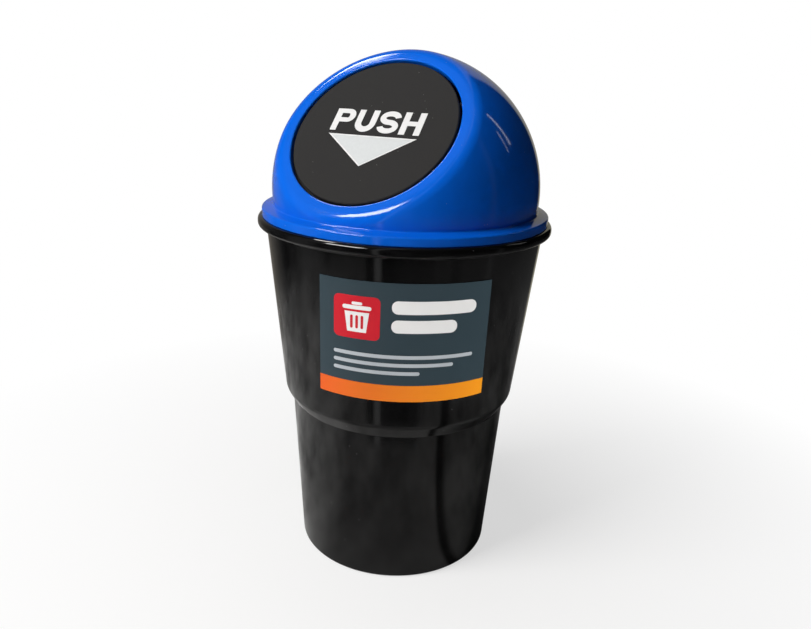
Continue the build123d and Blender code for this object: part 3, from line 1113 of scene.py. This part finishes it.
def bin_sign(middle, low, high, label):
    """Panels of a plain bin sign between two heights, its rim, grip and bucket, and of the slots on it."""
    rim_half, rim_drop, rim_height = 4.1 * MM, 2.0 * MM, 1.25 * MM
    grip_half, grip_drop, grip_height = 1.5 * MM, 0.55 * MM, 0.9 * MM
    mouth_half, mouth_drop, base_half = 3.5 * MM, 2.7 * MM, 2.7 * MM
    slot_width, slot_pitch, slot_rise, slot_height = 0.75 * MM, 1.5 * MM, 1.1 * MM, 4.1 * MM
    left_mouth = (middle - mouth_half, high - mouth_drop)
    right_mouth = (middle + mouth_half, high - mouth_drop)
    base = [(middle - base_half, low), (middle + base_half, low)]
    sign = [
        text_bar(middle - rim_half, middle + rim_half, high - rim_drop, rim_height, label),
        text_bar(middle - grip_half, middle + grip_half, high - grip_drop, grip_height, label),
        panel([left_mouth, *base, right_mouth], [left_mouth, right_mouth], label),
    ]
    lefts = [middle + k * slot_pitch - slot_width / 2 for k in (-1, 0, 1)]
    slots = [text_bar(x, x + slot_width, low + slot_rise, slot_height, label) for x in lefts]
    return sign, slots


def label_panels(label):
    """The print's panels, by ink: a band, a tag with a bin sign, and bars in place of words."""
    margin, band_height = 4.2 * MM, 5.4 * MM
    tag_size, tag_drop, tag_corner = 13.2 * MM, 4.6 * MM, 1.6 * MM
    sign_foot, sign_head = 2.1 * MM, 2.2 * MM
    bold_gap, bold_drop, bold_pitch, bold_height = 3.2 * MM, 0.6 * MM, 5.8 * MM, 4.0 * MM
    thin_rise, thin_pitch, thin_height = 3.4 * MM, 2.6 * MM, 1.15 * MM
    half, low, high = label.width / 2, -label.height / 2, label.height / 2
    left, right = -half + margin, half - margin
    band_top = low + band_height
    tag_high = high - tag_drop
    tag_low, tag_right = tag_high - tag_size, left + tag_size
    sign, slots = bin_sign((left + tag_right) / 2, tag_low + sign_foot, tag_high - sign_head, label)

    def lines(start, parts, bottom, pitch, height):
        """Bars one over the other, each as wide as its part of the room to the right margin."""
        ends = [start + part * (right - start) for part in parts]
        return [text_bar(start, end, bottom + k * pitch, height, label) for k, end in enumerate(ends)]

    bold_left, bold_low = tag_right + bold_gap, tag_high - bold_drop - bold_height
    bold = lines(bold_left, (1.0, 0.78), bold_low, -bold_pitch, bold_height)
    thin = lines(left, (0.62, 0.86, 1.0), band_top + thin_rise, thin_pitch, thin_height)
    return {
        "band": [panel([(-half, low), (half, low)], [(-half, band_top), (half, band_top)], label)],
        "tag": [bar_panel(left, tag_right, tag_low, tag_high, tag_corner, label)],
        "sign": sign,
        "slots": slots,
        "bold": bold,
        "thin": thin,
    }


def paint(node, material):
    """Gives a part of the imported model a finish."""
    for slot in frame["nodes"][node].material_slots:
        slot.material = material


class TRASHBIN_OT_cup(bpy.types.Operator):
    """Makes the moulded black cup"""

    bl_idname = "trash_bin.cup"
    bl_label = "Cup"

    def execute(self, context):
        cup = context.scene.trash_bin_cup
        section = [(x, y, 0.0) for x, y in cup_section(cup)]
        half = chain_mesh("cup_section", section)
        plastic = gloss_plastic("gloss_black", cup.plastic, cup.roughness)
        shell = grown("cup_shell", half, lathe_tree(), plastic, segments=cup.segments)
        shell = weighted(smooth(closed(shell)))
        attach(shell, "bin")
        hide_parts("bin_body")
        return {"FINISHED"}


class TRASHBIN_OT_lid(bpy.types.Operator):
    """Makes the moulded blue dome lid with its hinge ears"""

    bl_idname = "trash_bin.lid"
    bl_label = "Dome lid"

    def execute(self, context):
        lid = context.scene.trash_bin_lid
        shell = add_object("dome_shell", lid_mesh(lid))
        shell.data.materials.append(gloss_plastic("gloss_blue", lid.plastic, lid.roughness))
        add_ears(lid, shell)
        shell = weighted(smooth(closed(shell)))
        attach(shell, "lid")
        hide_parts("dome_lid")
        return {"FINISHED"}


class TRASHBIN_OT_flap(bpy.types.Operator):
    """Finishes the flap and prints its word and arrow"""

    bl_idname = "trash_bin.flap"
    bl_label = "Flap print"

    def execute(self, context):
        flap, lid = context.scene.trash_bin_flap, context.scene.trash_bin_lid
        paint("push_flap", spark_plastic("spark_grey", flap.plastic))
        step = flap.letter + flap.space
        letters = []
        for place, letter in enumerate((letter_p, letter_u, letter_s, letter_h)):
            letters += letter(flap.first + place * step, flap)
        arrow = [
            (flap.arrow_left, flap.arrow_top),
            (flap.arrow_right, flap.arrow_top),
            (flap.arrow_tip, flap.arrow_top - flap.arrow_drop),
        ]
        white, grey = screen_ink("white_ink", flap.letters), screen_ink("arrow_ink", flap.arrow)
        pieces = [
            inked("flap_word", letters, 0, white, flap, lid),
            inked("flap_arrow", [arrow], 0, white, flap, lid),
            inked("flap_arrow_fill", [inset(arrow, flap.arrow_border)], 1, grey, flap, lid),
        ]
        for piece in pieces:
            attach(piece, "flap")
        return {"FINISHED"}


class TRASHBIN_OT_hinge(bpy.types.Operator):
    """Makes the wire spring and finishes the hinge pin"""

    bl_idname = "trash_bin.hinge"
    bl_label = "Hinge spring"

    def execute(self, context):
        hinge = context.scene.trash_bin_hinge
        steel = drawn_steel("drawn_steel", hinge.steel)
        paint("hinge_pin", steel)
        path, half = spring_path(hinge, context.scene.trash_bin_lid)
        wire = {"diameter": hinge.wire, "sides": hinge.sides}
        spring = grown("spring_wire", chain_mesh("spring_path", path), wire_tree(), steel, **wire)
        smooth(closed(spring))
        HINGE - half
        HINGE + half
        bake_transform(spring)
        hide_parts("torsion_spring")
        return {"FINISHED"}


class TRASHBIN_OT_label(bpy.types.Operator):
    """Makes the label's film and its print on the upper wall"""

    bl_idname = "trash_bin.label"
    bl_label = "Label"

    def execute(self, context):
        label, cup = context.scene.trash_bin_label, context.scene.trash_bin_cup
        step_radius = cup.lower_top_radius + cup.step_width
        step_top = cup.lower_height + cup.step_height
        wall_top = cup.lip_radius - cup.lip_overhang
        draft = (wall_top - step_radius) / cup.upper_height
        wall = {
            "middle_radius": (step_radius + wall_top) / 2 + draft * label.rise,
            "draft": draft,
            "middle_height": step_top + cup.upper_height / 2 + label.rise,
            "turn": label.turn,
        }
        across = Vector((math.cos(label.turn), math.sin(label.turn), 0.0)) / label.width
        tree = wrap_tree()
        half, rise = label.width / 2, label.height / 2
        field = [panel([(-half, -rise), (half, -rise)], [(-half, rise), (half, rise)], label)]
        film_mesh = slab_mesh("label_film", field, label.gap, label.film, label)
        film = grown("label_film", film_mesh, tree, printed_film("slate_film", label.field), **wall)
        panels = label_panels(label)
        white = printed_film("white_print", label.white)
        red = printed_film("red_print", label.tag)
        layers = [
            ("band", 0, printed_film("orange_print", label.deep, label.amber, across)),
            ("tag", 0, red),
            ("sign", 1, white),
            ("slots", 2, red),
            ("bold", 0, white),
            ("thin", 0, printed_film("grey_print", label.grey)),
        ]
        pieces = [film]
        for ink, layer, material in layers:
            lift = label.gap + label.film + layer * label.ink
            mesh = slab_mesh("label_" + ink, panels[ink], lift, label.ink, label)
            pieces.append(grown("label_" + ink, mesh, tree, material, **wall))
        for piece in pieces:
            smooth(closed(piece))
            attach(piece, "bin")
        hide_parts("label")
        return {"FINISHED"}


def camera_matrix(stage):
    """Place and aim of the camera, from its turn round the bin, its tilt and its roll."""
    return (
        Matrix.Rotation(stage.turn, 4, "Z")
        @ Matrix.Translation((0.0, -stage.distance, stage.height))
        @ Matrix.Rotation(-stage.yaw, 4, "Z")
        @ Matrix.Rotation(math.pi / 2 - stage.pitch, 4, "X")
        @ Matrix.Rotation(stage.roll, 4, "Z")
    )


def seen_rays(graph):
    """Two flows: one on camera, glossy and transmission rays, and one on glossy rays alone."""
    camera = graph.node("ShaderNodeLightPath", None, None, "Is Camera Ray")
    glossy = graph.also(camera, "Is Glossy Ray")
    return camera + glossy + graph.also(camera, "Is Transmission Ray"), glossy


def view_axes(stage):
    """Level directions to the camera's right and from the bin to the camera."""
    right = Vector((math.cos(stage.turn), math.sin(stage.turn), 0.0))
    return right, Vector((right.y, -right.x, 0.0))


def floor_finish(stage):
    """Pale floor that keeps the bin's shadow and runs out into white.

    Gloss shows it white behind the bin, and elsewhere as a smudged table with painted light on it, lighter
    towards the left, that ends and fades into the
    room. Turns are shares of a full turn: 0 behind the bin, 0.25 left, 0.5 in front, 0.75 right, 1 behind.
    """
    finish = Finish("pale_floor")
    seen, glossy = seen_rays(finish)
    right, front = view_axes(stage)
    place, ramp = finish.place, finish.ramp
    reach = finish.node("ShaderNodeVectorMath", {"operation": "LENGTH"}, {"Vector": place}, "Value")
    bearing = reach.maths("ARCTAN2", finish.along(place, right), finish.along(place, front))
    swing = bearing / (2 * math.pi)
    turn = swing + 0.5
    to_rear = ramp(swing * swing, (0.475**2, 0.0), (0.49**2, 1.0))
    table = glossy * (1.0 - to_rear * ramp(reach, (0.25, 0.0), (0.4, 1.0)))
    white = (seen - table) * (0.64 + ramp(reach, (0.05, 0.0), (0.22, 1.0)) * 0.36)
    ahead = ramp(turn, (0.42, 0.0), (0.435, 1.0), (0.54, 1.0), (0.57, 0.0))
    gone = ramp(reach, (0.102, 0.0), (0.112, 1.0)) * ahead + ramp(reach, (0.14, 0.0), (0.3, 1.0))
    smudges = ramp(finish.noise(0.05, 3.0), (0.32, 0.16), (0.66, 0.48))
    # Painted light: the table's tone, as gloss shows it, is painted lighter towards the left. It is also
    # darker in a narrow band at the front right.
    lit_left = ((0.0, 1.0), (0.1, 1.7), (0.30, 1.7), (0.45, 1.0))
    dark_edge = ((0.6, 1.0), (0.608, 0.15), (0.62, 0.2), (0.634, 0.9), (0.75, 1.0))
    edges = ramp(turn, *lit_left, *dark_edge)
    bounce = ramp(turn, (0.53, 1.0), (0.68, 0.45), (0.95, 0.45), (1.0, 1.0))
    pale = finish.mix(seen + bounce, BLACK, WHITE_FLOOR)
    tone = finish.mix(table, pale, finish.grey(smudges * edges))
    matte = finish.node("ShaderNodeBsdfDiffuse", None, {"Color": tone})
    bright = finish.node("ShaderNodeEmission", None, {"Color": rgba(WHITE), "Strength": 1.0})
    clear = finish.node("ShaderNodeBsdfTransparent")
    surface = finish.blend(table * gone, finish.blend(white, matte, bright), clear)
    finish.node("ShaderNodeOutputMaterial", None, {"Surface": surface})
    return finish.material


def hang(lamp, turn, lift, seen, target):
    """Hangs a lamp at a turn round a target and a lift above it.

    It lights matte surfaces or shows in gloss, so that highlights keep their own shapes.
    """
    lamp.color = LAMP_COLOUR
    obj = add_object(lamp.name, lamp)
    aim = Vector((math.sin(turn) * math.cos(lift), -math.cos(turn) * math.cos(lift), math.sin(lift)))
    obj.location = target + aim * LAMP_DISTANCE
    obj.rotation_euler = aim.to_track_quat("Z", "Y").to_euler()
    obj.visible_diffuse = seen == "diffuse"
    obj.visible_glossy = seen == "glossy"


def softbox(name, size, level):
    """A soft rectangular lamp of a brightness."""
    lamp = bpy.data.lights.new(name, "AREA")
    lamp.shape = "RECTANGLE"
    lamp.size, lamp.size_y = size
    lamp.energy = level * math.pi * size[0] * size[1]
    return lamp


def label_spot(stage):
    """A narrow spot of a brightness, whose beam is a little wider than the label."""
    lamp = bpy.data.lights.new("label_spot", "SPOT")
    lamp.spot_size = 2 * math.atan(stage.spot_radius / LAMP_DISTANCE)
    lamp.spot_blend = stage.spot_blend
    lamp.shadow_soft_size = stage.spot_bulb
    lamp.energy = stage.spot * (2 * math.pi * LAMP_DISTANCE) ** 2
    return lamp


def upright_strip(graph, view, across, ahead, half_width, level):
    """A tall soft-edged strip of the room's wall, straight ahead and fading out to both sides across."""
    off = graph.along(view, across)
    return graph.ramp(off * off, (0.0, level), (half_width**2, 0.0)) * (graph.along(view, ahead) > 0.0)


def room_world(stage):
    """White background, which gloss shows behind the bin, beside a dim cloudy room with a few lit edges."""
    world = bpy.data.worlds.new("room")
    world.use_nodes = True
    world.node_tree.nodes.clear()
    graph = Graph(world.node_tree)
    ramp, along = graph.ramp, graph.along
    seen, glossy = seen_rays(graph)
    view = graph.node("ShaderNodeTexCoord", None, None, "Generated")
    right, front = view_axes(stage)

    def at(degrees):
        """Level direction at a turn from the camera's side of the bin."""
        return right * math.sin(math.radians(degrees)) + front * math.cos(math.radians(degrees))

    def strip(degrees, half_width, level):
        """A lit strip of the room at a turn."""
        return upright_strip(graph, view, at(degrees + 90), at(degrees), half_width, level)

    clouds = {"Vector": view, "Scale": 2.6, "Detail": 3.0}
    cloudy = ramp(graph.node("ShaderNodeTexNoise", None, clouds, "Fac"), (0.42, 0.35), (0.66, 1.9))
    to_right, to_rear = along(view, right), along(view, -front)
    from_left = to_right * 0.5 + 0.5
    shaded = ramp(from_left, (0.52, 1.0), (0.72, 0.12))
    lit = strip(-84, 0.3, 0.16) + strip(-21, 0.03, 0.42) + strip(77, 0.05, 0.07)
    below = ramp(along(view, (0.0, 0.0, -1.0)), (0.15, 0.0), (0.35, 0.09))
    dim = stage.room * cloudy * shaded + lit + below * (1.0 - shaded)
    on_right = to_right > 0.0
    left_end = ramp(to_rear, (0.5, 0.0), (0.98, 1.0))
    right_end = ramp(along(view, at(243)), (0.0, 0.0), (0.03, 1.0))
    backdrop = right_end * on_right + left_end * (1.0 - on_right)
    walls = graph.mix(ramp(from_left, (0.35, 0.0), (0.65, 1.0)), stage.backdrop, stage.wall)
    gloss = graph.mix(backdrop, graph.grey(dim), walls)
    rear = ramp(to_rear, (0.65, 0.0), (1.0, stage.rear))
    level = seen + (1.0 - seen) * (stage.ambient + rear)
    behind = ramp(to_rear, (0.985, 0.0), (0.997, 1.0))
    tone = graph.mix(glossy * (1.0 - behind), graph.grey(level), gloss)
    shade = graph.node("ShaderNodeBackground", None, {"Color": tone, "Strength": 1.0})
    graph.node("ShaderNodeOutputWorld", None, {"Surface": shade})
    return world


class TRASHBIN_OT_stage(bpy.types.Operator):
    """Sets the floor, the lamps, the room and the camera"""

    bl_idname = "trash_bin.stage"
    bl_label = "Stage"

    def execute(self, context):
        stage, scene = context.scene.trash_bin_stage, context.scene
        edge = turned((0.0, 0.0), stage.floor_radius, 0.0, 2 * math.pi, stage.floor_steps)[:-1]
        disc = mesh_of("floor", [(x, y, 0.0) for x, y in edge], (), [tuple(range(len(edge)))])
        floor = add_object("floor", disc)
        floor.data.materials.append(floor_finish(stage))
        under_lip = Vector((0.0, 0.0, CUP_TOP.z * 0.9))
        for name, turn, lift, size, level, seen in LAMPS:
            lamp = softbox(name, size, getattr(stage, level))
            hang(lamp, stage.turn + math.radians(turn), math.radians(lift), seen, under_lip)
        label_middle = sum(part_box("label"), Vector()) / 2
        hang(label_spot(stage), stage.turn + stage.spot_turn, stage.spot_lift, "diffuse", label_middle)
        scene.world = room_world(stage)
        lens = bpy.data.cameras.new("camera")
        lens.lens = stage.lens
        lens.clip_start = 0.01
        camera = add_object("camera", lens)
        camera.matrix_world = camera_matrix(stage)
        scene.camera = camera
        scene.view_settings.view_transform = "Standard"
        return {"FINISHED"}


OPERATORS = (
    TRASHBIN_OT_cup,
    TRASHBIN_OT_lid,
    TRASHBIN_OT_flap,
    TRASHBIN_OT_hinge,
    TRASHBIN_OT_label,
    TRASHBIN_OT_stage,
)
SETTINGS = {
    "trash_bin_cup": CupSettings,
    "trash_bin_lid": LidSettings,
    "trash_bin_flap": FlapSettings,
    "trash_bin_hinge": HingeSettings,
    "trash_bin_label": LabelSettings,
    "trash_bin_stage": StageSettings,
}


class TRASHBIN_PT_pieces(bpy.types.Panel):
    """Lists the bin's pieces, each with its settings"""

    bl_idname = "TRASHBIN_PT_pieces"
    bl_label = "Trash bin"
    bl_space_type = "VIEW_3D"
    bl_region_type = "UI"
    bl_category = "Trash bin"

    def draw(self, context):
        for operator, name in zip(OPERATORS, SETTINGS):
            box = self.layout.box()
            box.operator(operator.bl_idname)
            settings = getattr(context.scene, name)
            for key in settings.__annotations__:
                box.prop(settings, key)


def register():
    """Registers the settings, the operators and the panel."""
    for group in SETTINGS.values():
        bpy.utils.register_class(group)
    for name, group in SETTINGS.items():
        setattr(bpy.types.Scene, name, bpy.props.PointerProperty(type=group))
    for item in (*OPERATORS, TRASHBIN_PT_pieces):
        bpy.utils.register_class(item)


def unregister():
    """Takes them out again, in the other order."""
    for item in reversed((*OPERATORS, TRASHBIN_PT_pieces)):
        bpy.utils.unregister_class(item)
    for name, group in SETTINGS.items():
        delattr(bpy.types.Scene, name)
        bpy.utils.unregister_class(group)


def main():
    """Makes every piece and the stage."""
    register()
    bpy.ops.trash_bin.cup()
    bpy.ops.trash_bin.lid()
    bpy.ops.trash_bin.flap()
    bpy.ops.trash_bin.hinge()
    bpy.ops.trash_bin.label()
    bpy.ops.trash_bin.stage()


if __name__ == "__main__":
    main()
